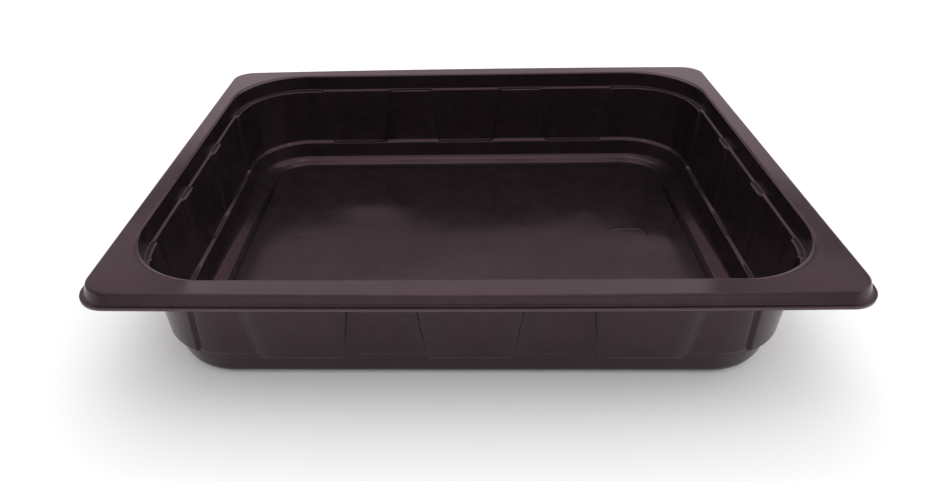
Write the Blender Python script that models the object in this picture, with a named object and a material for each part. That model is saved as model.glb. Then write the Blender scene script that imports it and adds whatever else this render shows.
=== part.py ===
"""Half-size plastic gastronorm tray, one thin thermoformed sheet.

The tray is one closed shell. A section of the sheet runs from the trim lip over the flange, down the
panelled wall and across the base to the floor; it is carried round a rounded rectangle in columns.
Metres, +Z up, origin on the table under the middle of the tray, long sides along X.
"""

import math
from typing import NamedTuple

import bmesh
import bpy
from mathutils import Vector

MM = 0.001

# Overall sizes
OUTER_LENGTH = 325.0 * MM
OUTER_WIDTH = 265.0 * MM
HEIGHT = 61.5 * MM
SHEET = 0.7 * MM

# Trim lip, skirt and flange
LIP_OVERHANG = 3.3 * MM
LIP_BOW = 1.0 * MM
EDGE_BOW = 2.2 * MM
SKIRT_DROP = 5.8 * MM
SKIRT_FLARE = 1.3 * MM
GROOVE_RADIUS = 0.4 * MM
FLANGE_WIDTH = 9.2 * MM
FLANGE_EDGE_RADIUS = 1.0 * MM
OPENING_EDGE_RADIUS = 1.0 * MM

# Wall: insets from the flange edge and drops below the flange's top
BAND_FOOT_INSET = 9.6 * MM
BAND_FOOT_DROP = 9.5 * MM
UPPER_LEDGE_INSET = 12.5 * MM
UPPER_LEDGE_DROP = 10.4 * MM
UPPER_LEDGE_INSET_AT_PANEL = 10.5 * MM
UPPER_LEDGE_DROP_AT_PANEL = 10.1 * MM
WALL_FOOT_INSET = 15.0 * MM
WALL_FOOT_DROP = 44.5 * MM
WALL_FOOT_INSET_AT_PANEL = 14.2 * MM
WALL_FOOT_DROP_AT_PANEL = 45.6 * MM
LOWER_LEDGE_INSET = 16.1 * MM
LOWER_LEDGE_DROP = 47.3 * MM

# Base: a foot ring round a floor that stands a little clear of the table
FOOT_INSET = 18.7 * MM
FOOT_RADIUS = 7.2 * MM
FLOOR_INSET = 29.4 * MM
FLOOR_STEP_RUN = 0.8 * MM
FLOOR_STEP_RISE = 0.6 * MM

# Plan corner radius at an inset from the flange edge
CORNER_RADII = (
    (-LIP_OVERHANG, 14.0 * MM),
    (0.0, 11.5 * MM),
    (FLANGE_WIDTH, 42.0 * MM),
    (LOWER_LEDGE_INSET, 34.5 * MM),
    (FOOT_INSET + FOOT_RADIUS, 25.0 * MM),
    (FLOOR_INSET, 17.0 * MM),
    (FLOOR_INSET + FLOOR_STEP_RUN, 16.0 * MM),
)

# Wall panels, pushed outwards: three on each side, narrower at the bottom
PANEL_SIDE_RUN = 1.5 * MM
LONG_PANEL_CENTRES = (-75.3 * MM, 0.0, 75.3 * MM)
LONG_PANEL_HALF_TOP = 23.9 * MM
LONG_PANEL_HALF_BOTTOM = 18.9 * MM
SHORT_PANEL_CENTRES = (-54.3 * MM, 0.0, 54.3 * MM)
SHORT_PANEL_HALF_TOP = 20.2 * MM
SHORT_PANEL_HALF_BOTTOM = 13.5 * MM

# Mesh fineness
EDGE_SEGMENTS = 2
FOOT_SEGMENTS = 5
CORNER_SEGMENTS = 8

# Finish
TRAY_COLOUR = (0.012, 0.008, 0.009, 1.0)
TRAY_ROUGHNESS = 0.3

FLANGE_HALF_LENGTH = OUTER_LENGTH / 2 - LIP_OVERHANG
FLANGE_HALF_WIDTH = OUTER_WIDTH / 2 - LIP_OVERHANG - LIP_BOW


class Corner(NamedTuple):
    """A corner of the section: its inset, its drop below the flange, its radius and its fineness."""

    inset: float
    drop: float
    radius: float
    segments: int


class Station(NamedTuple):
    """Where the section stands along a side: its place at the wall's top and foot, and if on a panel."""

    quarter: int
    along_top: float
    along_bottom: float
    in_panel: bool


class CornerSpoke(NamedTuple):
    """Where the section stands on a corner's arc: turn runs from 0 to 1 round the corner."""

    quarter: int
    turn: float
    in_panel: bool = False


def blend(low, high, share):
    """Value at a share of the way from low to high."""
    return low + (high - low) * share


def corner_radius(inset):
    """Plan corner radius at an inset, read between the driving radii."""
    for (inset_a, radius_a), (inset_b, radius_b) in zip(CORNER_RADII, CORNER_RADII[1:]):
        if inset <= inset_b:
            share = max(0.0, (inset - inset_a) / (inset_b - inset_a))
            return blend(radius_a, radius_b, share)
    return CORNER_RADII[-1][1]


def sheet_corners(in_panel, bow):
    """Corners of the sheet's upper side, from the lip to the floor.

    in_panel says whether the wall is pushed out, and bow, 0 to 1, how much of the long sides' bow applies.
    """
    foot_drop = HEIGHT - SHEET
    lip = -LIP_OVERHANG - LIP_BOW * bow
    groove = -SKIRT_FLARE - LIP_BOW * bow
    ledge = (UPPER_LEDGE_INSET, UPPER_LEDGE_DROP)
    wall_foot = (WALL_FOOT_INSET, WALL_FOOT_DROP)
    if in_panel:
        ledge = (UPPER_LEDGE_INSET_AT_PANEL, UPPER_LEDGE_DROP_AT_PANEL)
        wall_foot = (WALL_FOOT_INSET_AT_PANEL, WALL_FOOT_DROP_AT_PANEL)
    return [
        Corner(lip, SKIRT_DROP, 0.0, 0),
        Corner(groove, SKIRT_DROP, GROOVE_RADIUS, EDGE_SEGMENTS),
        Corner(-EDGE_BOW * bow, 0.0, FLANGE_EDGE_RADIUS, EDGE_SEGMENTS),
        Corner(FLANGE_WIDTH, 0.0, OPENING_EDGE_RADIUS, EDGE_SEGMENTS),
        Corner(BAND_FOOT_INSET, BAND_FOOT_DROP, 0.0, 0),
        Corner(*ledge, 0.0, 0),
        Corner(*wall_foot, 0.0, 0),
        Corner(LOWER_LEDGE_INSET, LOWER_LEDGE_DROP, 0.0, 0),
        Corner(FOOT_INSET, foot_drop, FOOT_RADIUS, FOOT_SEGMENTS),
        Corner(FLOOR_INSET, foot_drop, 0.0, 0),
        Corner(FLOOR_INSET + FLOOR_STEP_RUN, foot_drop - FLOOR_STEP_RISE, 0.0, 0),
    ]


def direction(start, end):
    """Unit vector from one corner to the next, in inset and height."""
    return Vector((end.inset - start.inset, start.drop - end.drop)).normalized()


def under_side(corners):
    """Corners of the sheet's under side, offset by the sheet's thickness with mitred corners."""
    flat = Vector((1.0, 0.0))
    offset = []
    for index, corner in enumerate(corners):
        before = direction(corners[index - 1], corner) if index else flat
        after = direction(corner, corners[index + 1]) if index + 1 < len(corners) else flat
        normal_before = Vector((before.y, -before.x))
        normal_after = Vector((after.y, -after.x))
        mitre = (normal_before + normal_after).normalized()
        mitre *= SHEET / mitre.dot(normal_before)
        turns_up = before.x * after.y - before.y * after.x > 0.0
        grown = corner.radius + (SHEET if turns_up else -SHEET)
        radius = max(grown, 0.0) if corner.segments else 0.0
        offset.append(Corner(corner.inset + mitre.x, corner.drop - mitre.y, radius, corner.segments))
    return offset


def rounded(corners):
    """The section's points (inset, drop), with each rounded corner as an arc."""
    points = []
    for index, corner in enumerate(corners):
        if not corner.segments:
            points.append((corner.inset, corner.drop))
            continue
        before = direction(corners[index - 1], corner)
        after = direction(corner, corners[index + 1])
        turn = before.angle(after)
        side = 1.0 if before.x * after.y - before.y * after.x > 0.0 else -1.0
        reach = corner.radius * math.tan(turn / 2)
        start = Vector((corner.inset, -corner.drop)) - before * reach
        centre = start + Vector((-before.y, before.x)) * corner.radius * side
        for step in range(corner.segments + 1):
            angle = side * turn * step / corner.segments
            spoke = start - centre
            cos, sin = math.cos(angle), math.sin(angle)
            point = centre + Vector((spoke.x * cos - spoke.y * sin, spoke.x * sin + spoke.y * cos))
            points.append((point.x, -point.y))
    return points


def side_stations(quarter, centres, half_top, half_bottom):
    """Stations along one side: each panel's middle, and on each edge one on the panel and one beside it."""
    stations = []
    for centre in centres:
        stations.append(Station(quarter, centre, centre, True))
        for edge in (-1, 1):
            for in_panel, shift in ((False, PANEL_SIDE_RUN / 2), (True, -PANEL_SIDE_RUN / 2)):
                top = centre + edge * (half_top + shift)
                bottom = centre + edge * (half_bottom + shift)
                stations.append(Station(quarter, top, bottom, in_panel))
    return sorted(stations, key=lambda station: station.along_top)


def all_columns():
    """Columns once round the tray, anticlockwise from the front side's left end."""
    long_panels = (LONG_PANEL_CENTRES, LONG_PANEL_HALF_TOP, LONG_PANEL_HALF_BOTTOM)
    short_panels = (SHORT_PANEL_CENTRES, SHORT_PANEL_HALF_TOP, SHORT_PANEL_HALF_BOTTOM)
    columns = []
    for quarter in range(4):
        columns += side_stations(quarter, *(short_panels if quarter % 2 else long_panels))
        for step in range(CORNER_SEGMENTS + 1):
            columns.append(CornerSpoke(quarter, step / CORNER_SEGMENTS))
    return columns


def bow_share(column):
    """Share of the long sides' bow at a column: full at the middle, none at the corners."""
    if isinstance(column, CornerSpoke) or column.quarter % 2:
        return 0.0
    return 1.0 - (column.along_top / FLANGE_HALF_LENGTH) ** 2


def place(column, inset, drop):
    """Point of the tray at a column, for one point of the section."""
    quarter = column.quarter
    half_along, half_across = FLANGE_HALF_LENGTH, FLANGE_HALF_WIDTH
    if quarter % 2:
        half_along, half_across = half_across, half_along
    if isinstance(column, CornerSpoke):
        radius = corner_radius(inset)
        angle = column.turn * math.pi / 2
        along = half_along - inset - radius + radius * math.sin(angle)
        across = half_across - inset - radius + radius * math.cos(angle)
    else:
        share = (drop - UPPER_LEDGE_DROP) / (LOWER_LEDGE_DROP - UPPER_LEDGE_DROP)
        along = blend(column.along_top, column.along_bottom, min(max(share, 0.0), 1.0))
        across = half_across - inset
    x, y = ((along, -across), (across, along), (-along, across), (-across, -along))[quarter]
    return Vector((x, y, HEIGHT - drop))


def add_rings(mesh, columns, side):
    """One ring of vertices for each point of the section's given side, in section order."""
    sections = {}
    for column in columns:
        key = (column.in_panel, bow_share(column))
        if key not in sections:
            sections[key] = rounded(side(sheet_corners(*key)))
    count = len(next(iter(sections.values())))
    rings = []
    for row in range(count):
        ring = []
        for column in columns:
            section = sections[(column.in_panel, bow_share(column))]
            ring.append(mesh.verts.new(place(column, *section[row])))
        rings.append(ring)
    return rings


def join_rings(mesh, outer, inner):
    """Faces between two rings, facing up when the inner ring lies nearer the middle."""
    count = len(outer)
    for index in range(count):
        after = (index + 1) % count
        mesh.faces.new((outer[index], outer[after], inner[after], inner[index]))


def tray_mesh():
    """The tray's closed mesh: upper side, lip edge, under side and the two faces of the floor."""
    columns = all_columns()
    mesh = bmesh.new()
    upper = add_rings(mesh, columns, lambda corners: corners)
    under = add_rings(mesh, columns, under_side)
    for outer, inner in zip(upper, upper[1:]):
        join_rings(mesh, outer, inner)
    mesh.faces.new(upper[-1])
    join_rings(mesh, under[0], upper[0])
    for outer, inner in zip(under, under[1:]):
        join_rings(mesh, inner, outer)
    mesh.faces.new(under[-1][::-1])
    data = bpy.data.meshes.new("tray")
    mesh.to_mesh(data)
    mesh.free()
    return data


def tray_material():
    """Dark brown plastic with a soft gloss."""
    material = bpy.data.materials.new("tray_plastic")
    material.use_nodes = True
    shader = material.node_tree.nodes["Principled BSDF"]
    shader.inputs["Base Color"].default_value = TRAY_COLOUR
    shader.inputs["Roughness"].default_value = TRAY_ROUGHNESS
    shader.inputs["Metallic"].default_value = 0.0
    return material


def main():
    """Clear the scene and build the tray."""
    for item in list(bpy.data.objects):
        bpy.data.objects.remove(item)
    data = tray_mesh()
    data.materials.append(tray_material())
    data.shade_smooth()
    data.set_sharp_from_angle(angle=math.radians(35.0))
    tray = bpy.data.objects.new("tray", data)
    bpy.context.scene.collection.objects.link(tray)


main()
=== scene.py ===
"""Looks of the half-size plastic gastronorm tray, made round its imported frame.

The tray is one thin sheet of dark brown plastic, formed over a mould. This script remakes it as one fine
closed mesh: a section of the sheet, from the floor's edge out to the trim lip and back, is carried round a
rounded rectangle, and the floor is a fine mesh that holds its buckles and its mould marks.

Metres, +Z up. The origin is on the table under the middle of the tray, with the long sides along X.
"""

import logging
import math
from dataclasses import dataclass, replace
from enum import Enum
from typing import NamedTuple

import bpy
from mathutils import Matrix, Vector
from mathutils.geometry import delaunay_2d_cdt


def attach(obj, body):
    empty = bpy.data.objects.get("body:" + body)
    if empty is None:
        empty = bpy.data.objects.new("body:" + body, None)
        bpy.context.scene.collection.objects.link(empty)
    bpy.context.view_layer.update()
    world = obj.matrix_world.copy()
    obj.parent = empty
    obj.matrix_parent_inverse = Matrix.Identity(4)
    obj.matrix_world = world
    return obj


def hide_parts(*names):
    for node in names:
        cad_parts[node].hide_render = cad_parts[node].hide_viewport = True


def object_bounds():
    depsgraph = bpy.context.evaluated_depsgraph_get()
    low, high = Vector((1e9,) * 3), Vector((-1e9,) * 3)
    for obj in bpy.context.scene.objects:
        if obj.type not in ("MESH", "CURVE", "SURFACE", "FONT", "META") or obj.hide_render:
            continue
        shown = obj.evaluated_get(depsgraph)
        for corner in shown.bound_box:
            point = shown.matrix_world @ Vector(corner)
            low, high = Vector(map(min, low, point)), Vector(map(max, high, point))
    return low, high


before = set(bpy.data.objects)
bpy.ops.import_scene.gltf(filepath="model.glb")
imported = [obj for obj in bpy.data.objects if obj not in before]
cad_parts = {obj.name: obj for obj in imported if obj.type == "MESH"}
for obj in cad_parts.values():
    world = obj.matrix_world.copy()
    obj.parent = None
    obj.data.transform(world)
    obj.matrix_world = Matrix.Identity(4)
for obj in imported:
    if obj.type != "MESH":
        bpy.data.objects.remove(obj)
CAD_LOW, CAD_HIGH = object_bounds()

MM = 0.001
LOG = logging.getLogger("tray")

# How the floor's mesh is closed: only inside its border, with points this close taken as one.
KEEP_INSIDE = 1
SAME_POINT = 1e-7

# The Mix node's sockets for colours share their names with its others, and so are found by number.
MIX_FIRST, MIX_SECOND, MIX_RESULT = 6, 7, 2

Colour = tuple[float, float, float, float]
PlanPoint = tuple[float, float]
Span = tuple[float, float]


def blend(low: float, high: float, share: float) -> float:
    """Value at a share of the way from low to high."""
    return low + (high - low) * share


def ease(share: float) -> float:
    """Share from 0 to 1 with a soft start and a soft stop."""
    share = min(max(share, 0.0), 1.0)
    return share * share * (3.0 - 2.0 * share)


def hump(distance: float, width: float) -> float:
    """Bell of height 1 at distance 0 that has almost gone at twice its width."""
    return math.exp(-((distance / width) ** 2))


class Side(Enum):
    """The tray's four sides, in the order in which the columns go round."""

    FRONT = 0
    RIGHT = 1
    BACK = 2
    LEFT = 3

    @property
    def is_long(self) -> bool:
        """True for the front and the back."""
        return self in (Side.FRONT, Side.BACK)

    def plan_point(self, along: float, across: float) -> PlanPoint:
        """Point on the plan.

        Args:
            along: Distance along the side, anticlockwise, from its middle.
            across: Distance out from the tray's middle towards the side.

        Returns:
            The point's x and y.
        """
        points = {
            Side.FRONT: (along, -across),
            Side.RIGHT: (across, along),
            Side.BACK: (-along, across),
            Side.LEFT: (-across, -along),
        }
        return points[self]


SOFT_SIZES = ("inset", "drop", "radius", "lift")


class Bend(NamedTuple):
    """A bend of the sheet's section, measured in from the flange's edge and down from its top.

    Segments are those of the bend's arc, and rows are those of the straight stretch after it. Lift is how
    much higher the bend is on the under side, where the sheet has drawn thin.
    """

    inset: float
    drop: float
    radius: float = 0.0
    segments: int = 0
    rows: int = 0
    lift: float = 0.0

    def heading(self, other: "Bend") -> Vector:
        """Unit vector from this bend to another, in inset and height."""
        return Vector((other.inset - self.inset, self.drop - other.drop)).normalized()

    def towards(self, other: "Bend", share: float) -> "Bend":
        """A bend part of the way from this one to another, with this one's segments and rows."""
        places = {name: blend(getattr(self, name), getattr(other, name), share) for name in SOFT_SIZES}
        return self._replace(**places)


@dataclass(frozen=True)
class Column:
    """Where the section stands on the plan.

    On a side, top and foot are its places along the side at the upper and the lower ledge, push is how far
    it is on a panel, and approach is how far it has gone from there to the corner's arc. On a corner's arc,
    top and foot are the shares of the turn, from 0 to 1, and push is how far it is on the corner's bulge.
    """

    side: Side
    top: float = 0.0
    foot: float = 0.0
    push: float = 0.0
    approach: float = 0.0
    on_corner: bool = False

    @property
    def to_end(self) -> float:
        """Share of the way from the long side's shape, 0, to the end's, 1."""
        if self.on_corner:
            return ease(self.top if self.side.is_long else 1.0 - self.top)
        return 0.0 if self.side.is_long else 1.0


@dataclass(frozen=True)
class Section:
    """How thick the sheet is, and how its section is worked into rows of points.

    Support is how close the first and last rows of a flat stretch are to its ends, up to a share of it. The
    under side has its own limits on segments and rows, as it is seen less.
    """

    sheet: float = 0.7 * MM
    support: float = 0.35 * MM
    support_share: float = 0.3
    least_radius: float = 0.12 * MM
    under_segments: int = 5
    under_rows: int = 2

    def under(self, bends: list[Bend]) -> list[Bend]:
        """The under side's bends.

        Args:
            bends: The upper side's bends, from the lip to the floor.

        Returns:
            The same bends, offset by the sheet with mitres, and with their lifts.
        """
        headings = [bend.heading(following) for bend, following in zip(bends, bends[1:])]
        offset = []
        for bend, before, after in zip(bends, headings[:1] + headings, headings + headings[-1:]):
            normal = Vector((before.y, -before.x))
            mitre = (normal + Vector((after.y, -after.x))).normalized()
            mitre *= self.sheet / mitre.dot(normal)
            turns_up = before.x * after.y - before.y * after.x > 0.0
            radius = max(bend.radius + (self.sheet if turns_up else -self.sheet), self.least_radius)
            offset.append(bend._replace(
                inset=bend.inset + mitre.x,
                drop=bend.drop - mitre.y - bend.lift,
                radius=radius if bend.segments else 0.0,
                segments=min(bend.segments, self.under_segments),
                rows=min(bend.rows, self.under_rows),
            ))
        return offset

    def loop(self, bends: list[Bend]) -> list[Bend]:
        """The whole section.

        Args:
            bends: The upper side's bends, from the lip to the floor.

        Returns:
            Bends out along the under side from the floor to the lip, and back over the top. Going out, a
            stretch's rows belong to the bend at its other end.
        """
        under = self.under(bends)
        rows_out = [0] + [bend.rows for bend in under[:-1]]
        outward = [bend._replace(rows=rows) for bend, rows in zip(under, rows_out)]
        return outward[::-1] + bends

    def points(self, bends: list[Bend]) -> list[Vector]:
        """Points of a section.

        Args:
            bends: The section's bends, in order.

        Returns:
            Points (inset, height above the flange's top), with each bend as an arc and each straight
            stretch divided into its rows.
        """
        arcs = [self.arc(bends, index) for index in range(len(bends))]
        points = []
        for bend, arc, following in zip(bends, arcs, arcs[1:] + [None]):
            points += arc
            if following is not None:
                points += self.stretch(arc[-1], following[0], bend.rows)
        return points

    def arc(self, bends: list[Bend], index: int) -> list[Vector]:
        """Points round one bend.

        Args:
            bends: The section's bends, in order.
            index: The bend's place among them.

        Returns:
            The arc's points, or the bend's own point if it isn't rounded.
        """
        bend = bends[index]
        corner = Vector((bend.inset, -bend.drop))
        if not bend.segments:
            return [corner]
        before = bends[index - 1].heading(bend)
        after = bend.heading(bends[index + 1])
        turn = before.angle(after)
        hand = 1.0 if before.x * after.y - before.y * after.x > 0.0 else -1.0
        start = corner - before * bend.radius * math.tan(turn / 2)
        centre = start + Vector((-before.y, before.x)) * bend.radius * hand
        spoke = start - centre
        points = []
        for step in range(bend.segments + 1):
            cos = math.cos(hand * turn * step / bend.segments)
            sin = math.sin(hand * turn * step / bend.segments)
            points.append(centre + Vector((spoke.x * cos - spoke.y * sin, spoke.x * sin + spoke.y * cos)))
        return points

    def stretch(self, start: Vector, end: Vector, rows: int) -> list[Vector]:
        """Points on a straight stretch, between its ends.

        Args:
            start: Where the stretch starts.
            end: Where it ends.
            rows: How many points it has.

        Returns:
            A point close to each end, so that the flat stays flat, and the rest even.
        """
        if rows < 2:
            return [start.lerp(end, 0.5)] * rows
        near = min(self.support / max((end - start).length, self.support), self.support_share)
        return [start.lerp(end, blend(near, 1.0 - near, step / (rows - 1))) for step in range(rows)]


@dataclass(frozen=True)
class Rim:
    """The turned-down trim lip, the gutter and the skirt above it, and the flat flange round the opening."""

    lip_overhang: float = 3.3 * MM
    lip_bow: float = 1.0 * MM
    edge_bow: float = 2.2 * MM
    lip_foot: float = 6.5 * MM
    gutter_drop: float = 5.0 * MM
    gutter_width: float = 1.6 * MM
    flange_width: float = 9.2 * MM
    lip_radius: float = 0.25 * MM
    groove_radius: float = 0.45 * MM
    edge_radius: float = 1.0 * MM
    opening_radius: float = 1.0 * MM
    flange_rows: int = 6

    def bends(self, bow: float) -> list[Bend]:
        """Bends from the lip to the opening.

        Args:
            bow: Share of the long sides' bow, from 0 to 1.

        Returns:
            The lip's foot, the gutter's two bends, the flange's edge and the opening's edge.
        """
        lip = -self.lip_overhang - self.lip_bow * bow
        edge = -self.edge_bow * bow
        return [
            Bend(lip, self.lip_foot, rows=2),
            Bend(lip, self.gutter_drop, self.lip_radius, segments=3, rows=2),
            Bend(lip + self.gutter_width, self.gutter_drop, self.groove_radius, segments=5, rows=3),
            Bend(edge, 0.0, self.edge_radius, segments=5, rows=self.flange_rows),
            Bend(self.flange_width, 0.0, self.opening_radius, segments=5, rows=2),
        ]


@dataclass(frozen=True)
class PanelRow:
    """The panels of one side: where they stand and how wide they are at the top and the foot."""

    centres: tuple[float, ...]
    half_top: float
    half_foot: float
    side_run: float = 1.5 * MM
    side_steps: int = 3
    spacing: float = 8.0 * MM

    def columns(self, side: Side) -> list[Column]:
        """Columns along a side.

        Args:
            side: The side that the panels are on.

        Returns:
            Columns from the first panel's edge to the last panel's edge.
        """
        edges = []
        for centre in self.centres:
            for hand in (-1, 1):
                face = [self.face_column(side, centre, hand, step) for step in range(self.side_steps + 1)]
                edges += face if hand < 0 else face[::-1]
        columns = [edges[0]]
        for before, after in zip(edges, edges[1:]):
            count = max(1, round((after.top - before.top) / self.spacing))
            for step in range(1, count + 1):
                share = step / count
                top = blend(before.top, after.top, share)
                foot = blend(before.foot, after.foot, share)
                columns.append(Column(side, top, foot, blend(before.push, after.push, share)))
        return columns

    def face_column(self, side: Side, centre: float, hand: int, step: int) -> Column:
        """Column on a panel's side face.

        Args:
            side: The side that the panel is on.
            centre: The panel's place along the side.
            hand: -1 for the face at the panel's start, 1 for the one at its end.
            step: 0 on the wall, up to side_steps on the panel.

        Returns:
            The column, part of the way from the wall to the panel.
        """
        share = step / self.side_steps
        shift = self.side_run * (0.5 - share)
        top = centre + hand * (self.half_top + shift)
        foot = centre + hand * (self.half_foot + shift)
        return Column(side, top, foot, ease(share))


@dataclass(frozen=True)
class CornerTurn:
    """The columns round a corner, where the wall bulges between two steps.

    The steps stand at a share of the turn from each end, and move towards its middle from top to foot.
    Groove is the push halfway along a step's run: below 0, it makes a fine groove beside the bulge.
    """

    step_top: float = 0.205
    step_foot: float = 0.25
    step_run: float = 0.05
    groove: float = -0.7
    step_columns: int = 4
    plain_columns: int = 9
    bulge_columns: int = 28

    def columns(self, side: Side) -> list[Column]:
        """Columns from the end of a side to the start of the next one.

        Args:
            side: The side that the corner follows.

        Returns:
            Columns over a quarter turn, symmetrical about its middle.
        """
        half = [(0.0, 0.0, 0.0)]
        for share, push in ((0.0, 0.0), (0.5, self.groove), (1.0, 1.0)):
            run = self.step_run * (share - 0.5)
            half.append((self.step_top + run, self.step_foot + run, push))
        marks = half + [(1.0 - top, 1.0 - foot, push) for top, foot, push in reversed(half)]
        counts = [self.plain_columns, self.step_columns, self.step_columns]
        counts += [self.bulge_columns] + counts[::-1]
        columns = [Column(side, on_corner=True)]
        for before, after, count in zip(marks, marks[1:], counts):
            for step in range(1, count + 1):
                share = step / count
                top, foot = (blend(*pair, share) for pair in zip(before[:2], after[:2]))
                push = blend(before[2], after[2], ease(share))
                columns.append(Column(side, top, foot, push, on_corner=True))
        return columns


@dataclass(frozen=True)
class Wall:
    """The wall: an upright band, a ledge, the long slope with its panels and a second, narrower ledge.

    At the back, the corners' steps are too soft to show.
    """

    band_foot: Bend = Bend(9.6 * MM, 9.7 * MM, 0.4 * MM, segments=3, rows=2)
    upper_ledge: Bend = Bend(12.7 * MM, 9.95 * MM, 0.8 * MM, segments=5, rows=4)
    upper_ledge_at_panel: Bend = Bend(10.7 * MM, 10.4 * MM, 0.8 * MM)
    upper_ledge_at_corner: Bend = Bend(11.9 * MM, 9.95 * MM, 0.8 * MM)
    foot: Bend = Bend(15.0 * MM, 45.2 * MM, 0.5 * MM, segments=5, rows=3, lift=0.5 * MM)
    foot_on_end: Bend = Bend(14.4 * MM, 45.9 * MM, 1.3 * MM, lift=0.5 * MM)
    foot_at_panel: Bend = Bend(13.5 * MM, 46.5 * MM, 0.45 * MM, lift=0.6 * MM)
    foot_at_end_panel: Bend = Bend(13.8 * MM, 46.85 * MM, 0.4 * MM, lift=0.3 * MM)
    foot_at_corner: Bend = Bend(14.1 * MM, 45.8 * MM, 0.8 * MM, lift=0.5 * MM)
    lower_ledge: Bend = Bend(16.2 * MM, 47.2 * MM, 0.4 * MM, segments=4, rows=2, lift=1.1 * MM)
    lower_ledge_at_panel: Bend = Bend(16.2 * MM, 47.2 * MM, 0.4 * MM, lift=0.3 * MM)
    long_panels: PanelRow = PanelRow((-75.3 * MM, 0.0, 75.3 * MM), 23.9 * MM, 18.9 * MM)
    short_panels: PanelRow = PanelRow((-54.3 * MM, 0.0, 54.3 * MM), 20.2 * MM, 13.5 * MM, 2.4 * MM)
    front_corner: CornerTurn = CornerTurn()
    back_corner: CornerTurn = CornerTurn(step_run=0.2, groove=0.0)

    def bends(self, column: Column) -> list[Bend]:
        """Bends from the band's foot to the lower ledge.

        Args:
            column: Where the section stands.

        Returns:
            The band's foot, the upper ledge, the slope's foot and the lower ledge.
        """
        upper, foot = self.upper_ledge_at_panel, self.foot_at_panel
        if column.on_corner:
            upper, foot = self.upper_ledge_at_corner, self.foot_at_corner
        elif not column.side.is_long:
            foot = self.foot_at_end_panel
        return [
            self.band_foot,
            self.upper_ledge.towards(upper, column.push),
            self.foot.towards(self.foot_on_end, column.to_end).towards(foot, column.push),
            self.lower_ledge.towards(self.lower_ledge_at_panel, max(column.push, column.to_end)),
        ]

    def columns(self, side: Side) -> list[Column]:
        """Columns along a side, from its first panel's edge to its last panel's edge."""
        return (self.long_panels if side.is_long else self.short_panels).columns(side)

    def corner_columns(self, side: Side) -> list[Column]:
        """Columns round the corner that follows a side."""
        in_front = side in (Side.FRONT, Side.LEFT)
        return (self.front_corner if in_front else self.back_corner).columns(side)


@dataclass(frozen=True)
class Ridge:
    """A soft buckle of the sheet: a long hump, or a hollow where its height is negative.

    Its heading is in radians from the X axis, and its length and width are each from the middle to where
    the hump is about a third as high.
    """

    centre: PlanPoint
    heading: float
    length: float
    width: float
    height: float

    def rise(self, x: float, y: float) -> float:
        """Height that the buckle adds.

        Args:
            x: The point's x.
            y: The point's y.

        Returns:
            The height, which fades out along and across the buckle.
        """
        dx, dy = x - self.centre[0], y - self.centre[1]
        cos, sin = math.cos(self.heading), math.sin(self.heading)
        along, across = dx * cos + dy * sin, dy * cos - dx * sin
        return self.height * hump(along, self.length) * hump(across, self.width)


@dataclass(frozen=True)
class LineMark:
    """A fine raised line on the floor, through a row of points; the last may be the first again.

    Tracks are where the mesh's own points run beside the line, and clearance is how far off the floor's
    grid keeps, all in widths of the line.
    """

    points: tuple[PlanPoint, ...]
    line: float = 0.35 * MM
    height: float = 0.06 * MM
    spacing: float = 0.8 * MM
    tracks: tuple[float, ...] = (-2.2, -1.1, 0.0, 1.1, 2.2)
    clearance: float = 3.0

    @classmethod
    def ring(cls, centre: PlanPoint, radius: float, sides: int = 48) -> "LineMark":
        """A plain round line.

        Args:
            centre: The ring's middle on the plan.
            radius: The ring's radius.
            sides: How many straight pieces it is made of.

        Returns:
            The line, whose last point is its first again.
        """
        angles = [2.0 * math.pi * side / sides for side in range(sides + 1)]
        points = [(centre[0] + radius * math.cos(a), centre[1] + radius * math.sin(a)) for a in angles]
        return cls(tuple(points))

    def distance(self, x: float, y: float) -> float:
        """Distance from a point to the line.

        Args:
            x: The point's x.
            y: The point's y.

        Returns:
            The distance to the nearest of the line's straight pieces.
        """
        place = Vector((x, y))
        nearest = math.inf
        for start, end in zip(self.points, self.points[1:]):
            start, run = Vector(start), Vector(end) - Vector(start)
            share = min(max((place - start).dot(run) / run.length_squared, 0.0), 1.0)
            nearest = min(nearest, (place - start - run * share).length)
        return nearest

    def rise(self, x: float, y: float) -> float:
        """Height that the line adds at a point."""
        return self.height * hump(self.distance(x, y), self.line)

    def keeps_clear(self, x: float, y: float) -> bool:
        """True where a point of the floor's grid is too close to the line."""
        return self.distance(x, y) < self.clearance * self.line

    def guide_points(self) -> list[PlanPoint]:
        """Points that the floor's mesh needs to show the line.

        Returns:
            Points along each of the line's tracks.
        """
        guides = []
        for start, end in zip(self.points, self.points[1:]):
            start, run = Vector(start), Vector(end) - Vector(start)
            across = Vector((-run.y, run.x)).normalized()
            count = max(1, round(run.length / self.spacing))
            for step in range(count):
                for track in self.tracks:
                    guide = start + run * (step + 0.5) / count + across * track * self.line
                    guides.append((guide.x, guide.y))
        return guides


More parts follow.
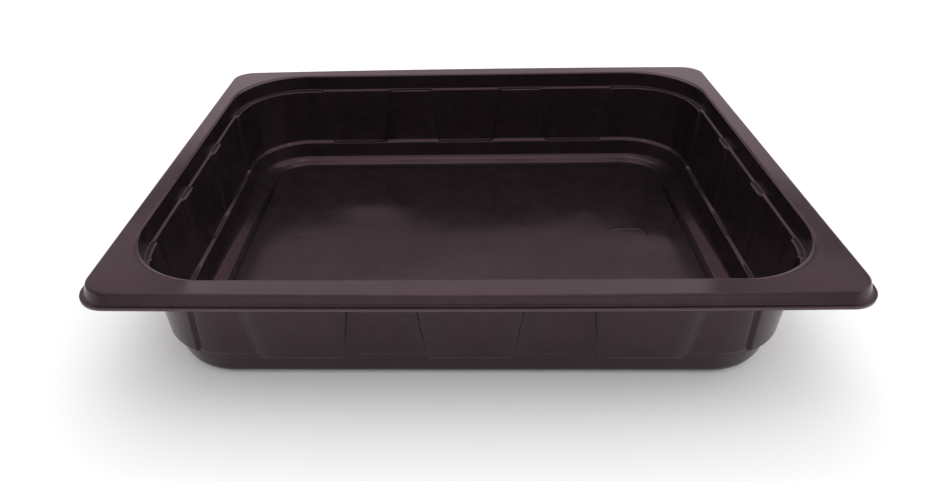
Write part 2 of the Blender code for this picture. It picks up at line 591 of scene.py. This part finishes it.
@dataclass(frozen=True)
class Base:
    """The base: the foot, the ring it stands on, and a floor a little above the table.

    The foot's bevel stands further in, and starts softer, at the ends than along the long sides. The floor
    is a little buckled, and its marks are a double ring on the left and a bent mould line on the right.
    """

    height: float
    sheet: float
    foot_start: Bend = Bend(18.2 * MM, 58.0 * MM, 4.5 * MM, segments=9, rows=2)
    foot_start_on_end: Bend = Bend(19.3 * MM, 57.3 * MM, 8.0 * MM)
    foot_end: Bend = Bend(23.6 * MM, 60.8 * MM, 1.0 * MM, segments=6, rows=2)
    foot_end_on_end: Bend = Bend(25.4 * MM, 60.8 * MM, 1.2 * MM)
    floor_inset: float = 29.4 * MM
    step_run: float = 0.6 * MM
    step_rise: float = 0.7 * MM
    step_radius: float = 0.25 * MM
    step_segments: int = 3
    edge_run: float = 0.6 * MM
    grid: float = 3.3 * MM
    fade: float = 12.0 * MM
    buckles: tuple[Ridge, ...] = (
        Ridge((-63.0 * MM, 50.0 * MM), -0.18, 29.0 * MM, 17.0 * MM, 1.3 * MM),
        Ridge((1.0 * MM, -4.0 * MM), 0.3, 44.0 * MM, 24.0 * MM, 0.75 * MM),
        Ridge((71.0 * MM, 40.0 * MM), 0.76, 16.0 * MM, 12.0 * MM, 0.3 * MM),
        Ridge((112.0 * MM, 5.5 * MM), 0.0, 36.0 * MM, 13.0 * MM, 0.55 * MM),
        Ridge((-84.0 * MM, 1.0 * MM), 1.64, 25.0 * MM, 15.0 * MM, 0.3 * MM),
    )
    marks: tuple[LineMark, ...] = (
        LineMark.ring((-96.3 * MM, -0.4 * MM), 7.6 * MM),
        LineMark.ring((-96.3 * MM, -0.4 * MM), 5.0 * MM),
        LineMark((
            (85.3 * MM, 13.0 * MM), (88.0 * MM, 14.8 * MM), (101.8 * MM, 15.0 * MM), (104.5 * MM, 13.4 * MM),
            (105.6 * MM, 10.0 * MM), (106.0 * MM, -6.0 * MM),
        )),
    )

    def bends(self, column: Column) -> list[Bend]:
        """Bends from the foot to the floor's edge.

        Args:
            column: Where the section stands.

        Returns:
            The bevel's start and end, the step up to the floor, and a point on the floor past the step.
        """
        drop = self.height - self.sheet
        floor_drop = drop - self.step_rise
        floor_start = self.floor_inset + self.step_run
        return [
            self.foot_start.towards(self.foot_start_on_end, column.to_end),
            self.foot_end.towards(self.foot_end_on_end, column.to_end)._replace(drop=drop),
            Bend(self.floor_inset, drop, self.step_radius, self.step_segments),
            Bend(floor_start, floor_drop, self.step_radius, self.step_segments),
            Bend(floor_start + self.edge_run, floor_drop),
        ]

    def relief(self, x: float, y: float, to_edge: float) -> float:
        """Height of the floor's buckles and marks.

        Args:
            x: The point's x.
            y: The point's y.
            to_edge: The point's distance in from the floor's edge, where the buckles fade out.

        Returns:
            The height above the plain floor.
        """
        buckles = sum(buckle.rise(x, y) for buckle in self.buckles)
        return ease(to_edge / self.fade) * buckles + sum(mark.rise(x, y) for mark in self.marks)


@dataclass(frozen=True)
class TrayShell:
    """The whole tray as one closed sheet.

    Each of corner_radii is an inset from the flange's edge and the corners' plan radius there, from the lip
    in to the floor. Folds are soft hollows of the flange and the band at the corners. The crease is the
    tight bend round the floor, where shade is painted in, nearly black, up to its level.
    """

    half_length: float
    half_width: float
    height: float
    base: Base
    section: Section = Section()
    rim: Rim = Rim()
    wall: Wall = Wall()
    corner_radii: tuple[tuple[float, float], ...] = (
        (-3.3 * MM, 14.0 * MM),
        (0.0, 11.5 * MM),
        (9.2 * MM, 42.0 * MM),
        (16.1 * MM, 34.5 * MM),
        (25.9 * MM, 25.0 * MM),
        (29.4 * MM, 17.0 * MM),
        (30.2 * MM, 16.0 * MM),
    )
    folds: tuple[Ridge, ...] = (
        Ridge((-124.0 * MM, -122.5 * MM), -1.2, 6.0 * MM, 3.0 * MM, -0.15 * MM),
        Ridge((-130.0 * MM, -122.5 * MM), -1.2, 3.0 * MM, 1.1 * MM, -0.15 * MM),
        Ridge((122.5 * MM, -123.5 * MM), 1.2, 6.0 * MM, 3.0 * MM, -0.15 * MM),
        Ridge((116.2 * MM, -124.0 * MM), 1.2, 3.0 * MM, 1.1 * MM, -0.15 * MM),
        Ridge((-118.5 * MM, 108.5 * MM), 2.36, 4.0 * MM, 0.9 * MM, -0.4 * MM),
        Ridge((117.0 * MM, 110.0 * MM), 0.78, 4.0 * MM, 0.9 * MM, -0.4 * MM),
    )
    fold_margin: float = 2.0 * MM
    # Painted shade: the width and top level of the nearly black band painted into the crease.
    crease_shade_width: float = 0.8 * MM
    crease_shade_level: float = 3.2 * MM
    approach_columns: int = 5

    def build(self) -> bpy.types.Object:
        """Makes the tray's object.

        Returns:
            The object, whose mesh says where shade is painted in its crease and a highlight on its trimmed
            edge.
        """
        columns = self.columns()
        vertices, faces = [], []
        rings = self.rings(columns, vertices)
        for ring, following in zip(rings, rings[1:]):
            for index in range(len(columns)):
                after = (index + 1) % len(columns)
                faces.append((ring[index], ring[after], following[after], following[index]))
        self.add_floor(rings[-1], vertices, faces, faces_up=True)
        self.add_floor(rings[0], vertices, faces, faces_up=False)
        data = bpy.data.meshes.new("tray_sheet")
        data.from_pydata(vertices, [], faces)
        data.shade_smooth()
        data.update()
        # Masks for the painted shade in the crease and the painted highlight on the lip's cut face.
        for name, share in (("crease_shade", self.crease_shade), ("trim_highlight", self.trim_highlight)):
            attribute = data.attributes.new(name, "FLOAT", "POINT")
            attribute.data.foreach_set("value", [share(vertex) for vertex in vertices])
        shell = bpy.data.objects.new("tray_sheet", data)
        bpy.context.scene.collection.objects.link(shell)
        return shell

    def columns(self) -> list[Column]:
        """Columns once round the tray.

        Returns:
            Columns anticlockwise from the front side's left end: for each side, those that lead in from the
            corner, those of its panels, those that lead out, and those of the next corner.
        """
        columns = []
        for side in Side:
            stations = self.wall.columns(side)
            count = self.approach_columns
            columns += [replace(stations[0], approach=step / count) for step in range(count - 1, 0, -1)]
            columns += stations
            columns += [replace(stations[-1], approach=step / count) for step in range(1, count)]
            columns += self.wall.corner_columns(side)
        return columns

    def bow_share(self, column: Column) -> float:
        """Share of the long sides' bow.

        Args:
            column: Where the section stands.

        Returns:
            1 at a long side's middle, falling to 0 at the corners.
        """
        if column.on_corner or not column.side.is_long:
            return 0.0
        corner_start = self.half_length - self.corner_radius(0.0)
        along = blend(abs(column.top), corner_start, column.approach)
        return max(0.0, 1.0 - (along / corner_start) ** 2)

    def rings(self, columns: list[Column], vertices: list[Vector]) -> list[list[int]]:
        """Rings of vertices round the tray, one for each point of the section.

        Args:
            columns: The columns that the section stands at.
            vertices: The mesh's vertices, to which the rings' are added.

        Returns:
            For each point of the section, the numbers of its vertices, in column order.
        """
        rings: list[list[int]] = []
        for column in columns:
            bends = self.rim.bends(self.bow_share(column)) + self.wall.bends(column) + self.base.bends(column)
            points = self.section.points(self.section.loop(bends))
            rings = rings or [[] for _ in points]
            for ring, point in zip(rings, points):
                ring.append(len(vertices))
                vertices.append(self.place(column, point.x, -point.y))
        return rings

    def corner_radius(self, inset: float) -> float:
        """Plan radius of the corners.

        Args:
            inset: Distance in from the flange's edge.

        Returns:
            The radius, read between the insets that it is given for.
        """
        for (inset_a, radius_a), (inset_b, radius_b) in zip(self.corner_radii, self.corner_radii[1:]):
            if inset <= inset_b:
                return blend(radius_a, radius_b, max(0.0, (inset - inset_a) / (inset_b - inset_a)))
        return self.corner_radii[-1][1]

    def place(self, column: Column, inset: float, drop: float) -> Vector:
        """Point of the tray for one point of the section.

        Args:
            column: Where the section stands.
            inset: The point's distance in from the flange's edge.
            drop: The point's distance down from the flange's top.

        Returns:
            The point, with the corners' folds.
        """
        half_along, half_across = self.half_length, self.half_width
        if not column.side.is_long:
            half_along, half_across = half_across, half_along
        radius = self.corner_radius(inset)
        top, bottom = self.wall.upper_ledge.drop, self.wall.lower_ledge.drop
        share = min(max((drop - top) / (bottom - top), 0.0), 1.0)
        station = blend(column.top, column.foot, share)
        if column.on_corner:
            angle = station * math.pi / 2
            along = half_along - inset - radius + radius * math.sin(angle)
            across = half_across - inset - radius + radius * math.cos(angle)
        else:
            arc_start = math.copysign(half_along - inset - radius, column.top)
            along = blend(station, arc_start, column.approach)
            across = half_across - inset
        point = Vector((*column.side.plan_point(along, across), self.height - drop))
        if column.on_corner and drop < top and inset > 0.0:
            point += self.fold_shift(point, inset, drop)
        return point

    def fold_shift(self, point: Vector, inset: float, drop: float) -> Vector:
        """How far the folds move a point of a corner.

        Args:
            point: The point without its folds.
            inset: Its distance in from the flange's edge.
            drop: Its distance down from the flange's top.

        Returns:
            The move, which is up or down on the flange and in or out on the band.
        """
        rise = sum(fold.rise(point.x, point.y) for fold in self.folds)
        rise *= ease(inset / self.fold_margin) * (1.0 - drop / self.wall.upper_ledge.drop)
        on_band = ease(drop / self.rim.opening_radius) if inset > self.rim.flange_width else 0.0
        outward = Vector((math.copysign(1.0, point.x), math.copysign(1.0, point.y), 0.0)).normalized()
        return Vector((0.0, 0.0, rise * (1.0 - on_band))) - outward * rise * on_band

    def crease_shade(self, point: Vector) -> float:
        """How far a point is in the crease round the floor.

        Args:
            point: The point of the tray.

        Returns:
            1 in the crease's middle, where the painted shade is darkest, down to 0 away from it.
        """
        # Painted shade: this mask darkens the crease round the floor to nearly black, up to its level.
        if point.z > self.crease_shade_level:
            return 0.0
        return hump(self.to_floor_edge(point.x, point.y) + self.crease_shade_width, self.crease_shade_width)

    def trim_highlight(self, point: Vector) -> float:
        """Whether a point is on the face of the trim lip, where the sheet was cut.

        Args:
            point: The point of the tray.

        Returns:
            1 on that face, and 0 elsewhere.
        """
        # Painted highlight: this mask makes the lip's cut face paler, in place of the bright floor it
        # reflects.
        if point.z > self.height - self.rim.gutter_drop - self.rim.lip_radius:
            return 0.0
        lip = -self.rim.lip_overhang
        behind_face = self.to_outline(point.x, point.y, lip, self.corner_radius(lip))
        return 1.0 if behind_face < self.section.sheet else 0.0

    def add_floor(
        self, ring: list[int], vertices: list[Vector], faces: list[tuple[int, ...]], faces_up: bool
    ) -> None:
        """Closes the floor inside a ring with a fine mesh that carries the floor's relief.

        Args:
            ring: The numbers of the ring's vertices.
            vertices: The mesh's vertices, to which the floor's are added.
            faces: The mesh's faces, to which the floor's are added.
            faces_up: True for the upper side, and False for the under side.
        """
        edge = [vertices[number] for number in ring]
        level = edge[0].z
        inside = self.floor_points(edge)
        plan = [Vector((point.x, point.y)) for point in edge] + [Vector(point) for point in inside]
        border = [(index, (index + 1) % len(edge)) for index in range(len(edge))]
        made, _, triangles, sources, _, _ = delaunay_2d_cdt(plan, border, [], KEEP_INSIDE, SAME_POINT)
        numbers = []
        for point, source in zip(made, sources):
            if source and source[0] < len(edge):
                numbers.append(ring[source[0]])
            else:
                numbers.append(len(vertices))
                rise = self.base.relief(point.x, point.y, self.to_floor_edge(point.x, point.y))
                vertices.append(Vector((point.x, point.y, level + rise)))
        for triangle in triangles:
            corners = [numbers[index] for index in triangle]
            faces.append(tuple(corners if faces_up else corners[::-1]))

    def floor_points(self, edge: list[Vector]) -> list[PlanPoint]:
        """Points of the floor's mesh.

        Args:
            edge: The floor's edge, which they stay inside.

        Returns:
            The marks' own points, and an even grid of triangles that keeps clear of them.
        """
        marks = self.base.marks
        points = [point for mark in marks for point in mark.guide_points()]
        grid, row_height = self.base.grid, self.base.grid * math.sqrt(3.0) / 2
        half_x = max(point.x for point in edge)
        half_y = max(point.y for point in edge)
        rows = int(half_y / row_height)
        columns = int(half_x / grid) + 1
        for row in range(-rows, rows + 1):
            for column in range(-columns, columns + 1):
                x = (column + 0.5 * (row % 2)) * grid
                y = row * row_height
                inside = self.to_floor_edge(x, y) >= grid / 2
                if inside and not any(mark.keeps_clear(x, y) for mark in marks):
                    points.append((x, y))
        return points

    def to_floor_edge(self, x: float, y: float) -> float:
        """Distance from a point of the floor out to the floor's edge."""
        return self.to_outline(x, y, *self.corner_radii[-1])

    def to_outline(self, x: float, y: float, inset: float, radius: float) -> float:
        """Distance from a point out to an outline of the tray.

        Args:
            x: The point's x.
            y: The point's y.
            inset: The outline's distance in from the flange's edge.
            radius: The radius of the outline's corners.

        Returns:
            The distance, which is negative where the point is outside.
        """
        past_x = abs(x) - (self.half_length - inset - radius)
        past_y = abs(y) - (self.half_width - inset - radius)
        beyond = math.hypot(max(past_x, 0.0), max(past_y, 0.0))
        return radius - beyond - min(max(past_x, past_y), 0.0)

    def dress(self, shell: bpy.types.Object, finish: "TrayPlastic") -> None:
        """Gives the tray its plastic, and says what it stands for in the frame.

        Args:
            shell: The tray's object.
            finish: The plastic.
        """
        shell.data.materials.append(finish.material())
        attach(shell, "root")
        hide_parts("tray")


class NodeGraph:
    """The nodes of a material or of the surroundings, added and joined by name."""

    def __init__(self, owner: bpy.types.Material | bpy.types.World) -> None:
        """Starts the nodes afresh.

        Args:
            owner: The material or the surroundings that the nodes are for.
        """
        owner.use_nodes = True
        self.tree = owner.node_tree
        self.tree.nodes.clear()

    def add(self, kind: str, **settings: object) -> bpy.types.Node:
        """Adds a node; a setting that isn't one of its properties is one of its inputs.

        Args:
            kind: The node's type, without its ShaderNode prefix.
            settings: Properties by name, and inputs by name with _ for a space. An input may be a socket.

        Returns:
            The node.
        """
        node = self.tree.nodes.new("ShaderNode" + kind)
        for name, value in settings.items():
            if hasattr(node, name):
                setattr(node, name, value)
            else:
                self.feed(node.inputs[name.replace("_", " ")], value)
        return node

    def feed(self, socket: bpy.types.NodeSocket, value: object) -> None:
        """Sets an input.

        Args:
            socket: The input.
            value: A socket to join it to, or a value of its own.
        """
        if isinstance(value, bpy.types.NodeSocket):
            self.tree.links.new(value, socket)
        else:
            socket.default_value = value

    def maths(self, operation: str, *values: object) -> bpy.types.NodeSocket:
        """Works out a sum, a product or the like.

        Args:
            operation: The operation's name.
            values: Sockets and numbers, in order.

        Returns:
            The result's socket.
        """
        node = self.add("Math", operation=operation)
        for socket, value in zip(node.inputs, values):
            self.feed(socket, value)
        return node.outputs["Value"]

    def noise(self, place: bpy.types.NodeSocket, scale: float, detail: float) -> bpy.types.NodeSocket:
        """Socket of a soft unevenness over the surface, from 0 to 1."""
        return self.add("TexNoise", Vector=place, Scale=scale, Detail=detail).outputs["Fac"]

    def ramp(
        self, value: bpy.types.NodeSocket, low: float, high: float, at_low: object, at_high: object
    ) -> bpy.types.NodeSocket:
        """Reads a value from one range into another, with a soft start and a soft stop.

        Args:
            value: The value's socket.
            low: Where the first range starts.
            high: Where it ends.
            at_low: The result at its start and below, as a number or a socket.
            at_high: The result at its end and above.

        Returns:
            The result's socket.
        """
        node = self.add("MapRange", interpolation_type="SMOOTHSTEP", Value=value)
        for name, number in (("From Min", low), ("From Max", high), ("To Min", at_low), ("To Max", at_high)):
            self.feed(node.inputs[name], number)
        return node.outputs["Result"]

    def mix(self, share: bpy.types.NodeSocket, first: object, second: object) -> bpy.types.NodeSocket:
        """Mixes two colours.

        Args:
            share: How far the result is from the first to the second.
            first: The first colour, or its socket.
            second: The second colour, or its socket.

        Returns:
            The result's socket.
        """
        node = self.add("Mix", data_type="RGBA", Factor=share)
        self.feed(node.inputs[MIX_FIRST], first)
        self.feed(node.inputs[MIX_SECOND], second)
        return node.outputs[MIX_RESULT]


@dataclass(frozen=True)
class TrayPlastic:
    """Dark brown plastic with a soft gloss: rougher on the stretched walls, faintly mottled and pebbled.

    The rim's roughness starts below its level, and the base's ends above its own. Scales are in cycles to a
    metre. Shade is painted nearly black into the crease round the floor, and a paler highlight is painted on
    the lip's cut face.
    """

    body_colour: Colour = (0.0095, 0.0068, 0.0085, 1.0)
    mottle_colour: Colour = (0.0065, 0.0045, 0.0055, 1.0)
    # Painted shade: nearly black colour for the crease round the floor.
    crease_shade_colour: Colour = (0.0005, 0.0003, 0.0004, 1.0)
    # Painted highlight: paler colour for the lip's cut face, in place of the bright floor it reflects.
    trim_highlight_colour: Colour = (0.05, 0.037, 0.043, 1.0)
    tint: Colour = (1.0, 0.6, 0.72, 1.0)
    ior: float = 1.49
    mottle_scale: float = 140.0
    mottle_detail: float = 3.0
    mottle_span: Span = (0.35, 0.65)
    rim_roughness: float = 0.1
    wall_roughness: float = 0.28
    base_roughness: float = 0.18
    rim_level: float = 61.0 * MM
    rim_fade: float = 1.5 * MM
    base_level: float = 3.0 * MM
    base_fade: float = 3.0 * MM
    cloud_scale: float = 45.0
    cloud_detail: float = 4.0
    cloud_span: Span = (0.3, 0.7)
    cloud_swing: float = 0.02
    pebble_size: float = 1.6 * MM
    pebble_height: float = 0.006 * MM
    wave_size: float = 14.0 * MM
    wave_height: float = 0.03 * MM

    def material(self) -> bpy.types.Material:
        """Makes the plastic.

        Returns:
            The material.
        """
        material = bpy.data.materials.new("tray_plastic")
        nodes = NodeGraph(material)
        place = nodes.add("TexCoord").outputs["Object"]
        shader = nodes.add(
            "BsdfPrincipled", Base_Color=self.colour(nodes, place), Roughness=self.roughness(nodes, place),
            IOR=self.ior, Specular_Tint=self.tint, Normal=self.relief(nodes, place),
        )
        nodes.add("OutputMaterial", Surface=shader.outputs["BSDF"])
        return material

    def colour(self, nodes: NodeGraph, place: bpy.types.NodeSocket) -> bpy.types.NodeSocket:
        """The mottled brown, with painted shade nearly black in the crease and a painted highlight on the
        lip's cut face.

        Args:
            nodes: The material's nodes.
            place: The socket of the place on the tray.

        Returns:
            The colour's socket.
        """
        mottle = nodes.noise(place, self.mottle_scale, self.mottle_detail)
        share = nodes.ramp(mottle, *self.mottle_span, 0.0, 1.0)
        colour = nodes.mix(share, self.body_colour, self.mottle_colour)
        # Painted shade in the crease and a painted highlight on the lip's cut face, each through its mask.
        for name, spot in (("crease_shade", self.crease_shade_colour), ("trim_highlight", self.trim_highlight_colour)):
            share = nodes.add("Attribute", attribute_name=name).outputs["Fac"]
            colour = nodes.mix(share, colour, spot)
        return colour

    def roughness(self, nodes: NodeGraph, place: bpy.types.NodeSocket) -> bpy.types.NodeSocket:
        """Roughness by height, a little cloudy.

        Args:
            nodes: The material's nodes.
            place: The socket of the place on the tray.

        Returns:
            The roughness's socket.
        """
        height = nodes.add("SeparateXYZ", Vector=place).outputs["Z"]
        base_end = self.base_level + self.base_fade
        low = nodes.ramp(height, self.base_level, base_end, self.base_roughness, self.wall_roughness)
        level = nodes.ramp(height, self.rim_level - self.rim_fade, self.rim_level, low, self.rim_roughness)
        clouds = nodes.noise(place, self.cloud_scale, self.cloud_detail)
        swing = nodes.ramp(clouds, *self.cloud_span, -self.cloud_swing, self.cloud_swing)
        return nodes.maths("ADD", level, swing)

    def relief(self, nodes: NodeGraph, place: bpy.types.NodeSocket) -> bpy.types.NodeSocket:
        """Fine pebbles over slow waves.

        Args:
            nodes: The material's nodes.
            place: The socket of the place on the tray.

        Returns:
            The normal's socket.
        """
        waves = nodes.noise(place, 1.0 / self.wave_size, 1.0)
        wavy = nodes.add("Bump", Strength=1.0, Distance=self.wave_height, Height=waves).outputs["Normal"]
        pebbles = nodes.noise(place, 1.0 / self.pebble_size, 1.0)
        both = nodes.add("Bump", Strength=1.0, Distance=self.pebble_height, Height=pebbles, Normal=wavy)
        return both.outputs["Normal"]


@dataclass(frozen=True)
class FloorFinish:
    """Plain matt white of the studio floor."""

    colour: Colour = (0.96, 0.96, 0.96, 1.0)
    roughness: float = 0.9
    gloss: float = 0.0

    def material(self) -> bpy.types.Material:
        """Makes the floor's finish.

        Returns:
            The material.
        """
        material = bpy.data.materials.new("studio_floor")
        nodes = NodeGraph(material)
        shader = nodes.add(
            "BsdfPrincipled", Base_Color=self.colour, Roughness=self.roughness, Specular_IOR_Level=self.gloss
        )
        nodes.add("OutputMaterial", Surface=shader.outputs["BSDF"])
        return material


@dataclass(frozen=True)
class ViewPoint:
    """Where the camera stands, and how it is turned and framed."""

    location: tuple[float, float, float] = (-3.9 * MM, -355.8 * MM, 232.6 * MM)
    yaw: float = math.radians(-2.43)
    pitch: float = math.radians(32.79)
    roll: float = math.radians(-1.63)
    lens: float = 27.456
    sensor: float = 36.0
    shift_x: float = 0.0387
    clip_start: float = 10.0 * MM

    def build(self) -> None:
        """Makes the camera and gives it to the scene."""
        ahead = Vector((
            math.sin(self.yaw) * math.cos(self.pitch),
            math.cos(self.yaw) * math.cos(self.pitch),
            -math.sin(self.pitch),
        ))
        level = Vector((math.cos(self.yaw), -math.sin(self.yaw), 0.0))
        upright = level.cross(ahead)
        right = math.cos(self.roll) * level + math.sin(self.roll) * upright
        up = -math.sin(self.roll) * level + math.cos(self.roll) * upright
        data = bpy.data.cameras.new("view")
        data.lens = self.lens
        data.sensor_width = self.sensor
        data.shift_x = self.shift_x
        data.clip_start = self.clip_start
        camera = bpy.data.objects.new("view", data)
        turn = Matrix((right, up, -ahead)).transposed()
        camera.matrix_world = Matrix.Translation(self.location) @ turn.to_4x4()
        bpy.context.scene.collection.objects.link(camera)
        bpy.context.scene.camera = camera


@dataclass(frozen=True)
class Softbox:
    """A flat soft light, aimed at a point on the front of the tray."""

    name: str
    location: tuple[float, float, float]
    width: float
    depth: float
    power: float
    target: tuple[float, float, float] = (0.0, -0.12, 0.06)

    def build(self) -> None:
        """Makes the light."""
        data = bpy.data.lights.new(self.name, "AREA")
        data.shape = "RECTANGLE"
        data.size = self.width
        data.size_y = self.depth
        data.energy = self.power
        light = bpy.data.objects.new(self.name, data)
        light.location = self.location
        aim = Vector(self.target) - Vector(self.location)
        light.rotation_euler = aim.to_track_quat("-Z", "Y").to_euler()
        bpy.context.scene.collection.objects.link(light)


@dataclass(frozen=True)
class Surroundings:
    """The bright room round the table, as levels of light by direction.

    Behind the table is a white sweep, less bright in its middle. A dimmer strip above it is a little higher
    on one side, and above that is a tinted wall. The rest of the room is plain, apart from a dimmer part
    low in front and another high on the left.

    Edges, heights and fades are in degrees, up from level or aside from straight behind. Front_way and
    left_way are spans of the direction's own y and x, over which those two parts end.
    """

    room: float = 1.3
    sweep: float = 1.02
    sweep_middle: float = 0.8
    middle_edge: float = 9.0
    middle_fade: float = 8.0
    strip: float = 0.5
    strip_start: float = 24.3
    strip_height: float = 4.0
    strip_fade: float = 1.0
    strip_lean: float = 0.04
    wall: float = 0.57
    wall_aside: float = 0.9
    wall_tint: tuple[float, float, float] = (1.0, 0.82, 0.87)
    wall_edge: float = 22.0
    wall_fade: float = 8.0
    wall_top: float = 38.0
    wall_top_fade: float = 12.0
    wall_reach: float = 45.0
    wall_reach_fade: float = 20.0
    front_low: float = 0.54
    front_way: Span = (-0.7, -0.3)
    front_heights: Span = (4.0, 20.0)
    left_share: float = 0.4
    left_way: Span = (-0.75, -0.35)
    left_heights: Span = (8.0, 24.0)

    def build(self) -> bpy.types.World:
        """Makes the surroundings.

        Returns:
            The world, brighter or dimmer by direction.
        """
        world = bpy.data.worlds.new("studio")
        nodes = NodeGraph(world)
        way = nodes.add("SeparateXYZ", Vector=nodes.add("TexCoord").outputs["Generated"])
        x, y, z = (way.outputs[name] for name in "XYZ")
        height = nodes.maths("DEGREES", nodes.maths("ARCSINE", z))
        aside = nodes.maths("DEGREES", nodes.maths("ARCTAN2", x, y))
        off_middle = nodes.maths("ABSOLUTE", aside)
        backdrop = self.backdrop(nodes, height, aside, off_middle)
        overhead = nodes.ramp(height, self.wall_top, self.wall_top + self.wall_top_fade, 0.0, 1.0)
        reach_end = self.wall_reach + self.wall_reach_fade
        to_front = nodes.ramp(off_middle, self.wall_reach, reach_end, 0.0, 1.0)
        away = nodes.maths("MAXIMUM", overhead, to_front)
        ahead = nodes.ramp(y, *self.front_way, self.front_low, self.room)
        front = nodes.ramp(height, *self.front_heights, ahead, self.room)
        left = nodes.ramp(x, *self.left_way, self.left_share, 1.0)
        side = nodes.ramp(height, *self.left_heights, 1.0, left)
        colour = nodes.mix(away, backdrop, nodes.maths("MULTIPLY", front, side))
        background = nodes.add("Background", Color=colour)
        nodes.add("OutputWorld", Surface=background.outputs["Background"])
        return world

    def backdrop(
        self,
        nodes: NodeGraph,
        height: bpy.types.NodeSocket,
        aside: bpy.types.NodeSocket,
        off_middle: bpy.types.NodeSocket,
    ) -> bpy.types.NodeSocket:
        """What stands behind the table: the sweep, the strip and the wall.

        Args:
            nodes: The world's nodes.
            height: The socket of the height, in degrees.
            aside: The socket of the angle aside, in degrees, negative on the left.
            off_middle: The same without its sign.

        Returns:
            The socket of the light's colour.
        """
        middle_end = self.middle_edge + self.middle_fade
        low = nodes.ramp(off_middle, self.middle_edge, middle_end, self.sweep_middle, self.sweep)
        lean = nodes.maths("MULTIPLY_ADD", aside, -self.strip_lean, height)
        start, end = self.strip_start, self.strip_start + self.strip_height
        level = nodes.ramp(lean, start, start + self.strip_fade, low, self.strip)
        above = nodes.ramp(lean, end, end + self.strip_fade, 0.0, 1.0)
        wall_end = self.wall_edge + self.wall_fade
        wall = nodes.ramp(off_middle, self.wall_edge, wall_end, self.wall, self.wall_aside)
        tinted = nodes.add("VectorMath", operation="MULTIPLY")
        for socket, value in zip(tinted.inputs, (nodes.mix(above, level, wall), self.wall_tint)):
            nodes.feed(socket, value)
        return tinted.outputs["Vector"]


@dataclass(frozen=True)
class Studio:
    """White surroundings, a plain pale floor, soft lights and the camera."""

    floor_half: float = 2.0
    floor_finish: FloorFinish = FloorFinish()
    surroundings: Surroundings = Surroundings()
    lights: tuple[Softbox, ...] = (
        Softbox("back_softbox", (-0.02, 0.4, 0.62), width=0.78, depth=0.43, power=0.85),
        Softbox("overhead_softbox", (0.03, -0.2, 0.9), width=0.35, depth=0.5, power=0.4),
    )
    view: ViewPoint = ViewPoint()

    def build(self) -> None:
        """Makes the surroundings, the floor, the lights and the camera."""
        bpy.context.scene.world = self.surroundings.build()
        bpy.context.scene.view_settings.view_transform = "Standard"
        self.build_floor()
        for light in self.lights:
            light.build()
        self.view.build()

    def build_floor(self) -> None:
        """Makes the floor, as one flat square on the table's level."""
        reach = self.floor_half
        corners = [(-reach, -reach, 0.0), (reach, -reach, 0.0), (reach, reach, 0.0), (-reach, reach, 0.0)]
        data = bpy.data.meshes.new("studio_floor")
        data.from_pydata(corners, [], [(0, 1, 2, 3)])
        data.materials.append(self.floor_finish.material())
        floor = bpy.data.objects.new("studio_floor", data)
        bpy.context.scene.collection.objects.link(floor)


def main() -> None:
    """Builds the studio and the tray, and reports each piece."""
    logging.basicConfig(level=logging.INFO, format="%(name)s: %(message)s")
    Studio().build()
    LOG.info("studio made")
    rim, section = Rim(), Section()
    height = CAD_HIGH.z - CAD_LOW.z
    tray = TrayShell(
        half_length=CAD_HIGH.x - rim.lip_overhang,
        half_width=CAD_HIGH.y - rim.lip_overhang - rim.lip_bow,
        height=height,
        base=Base(height, section.sheet),
        section=section,
        rim=rim,
    )
    shell = tray.build()
    tray.dress(shell, TrayPlastic())
    LOG.info("%s made with %d faces", shell.name, len(shell.data.polygons))


if __name__ == "__main__":
    main()
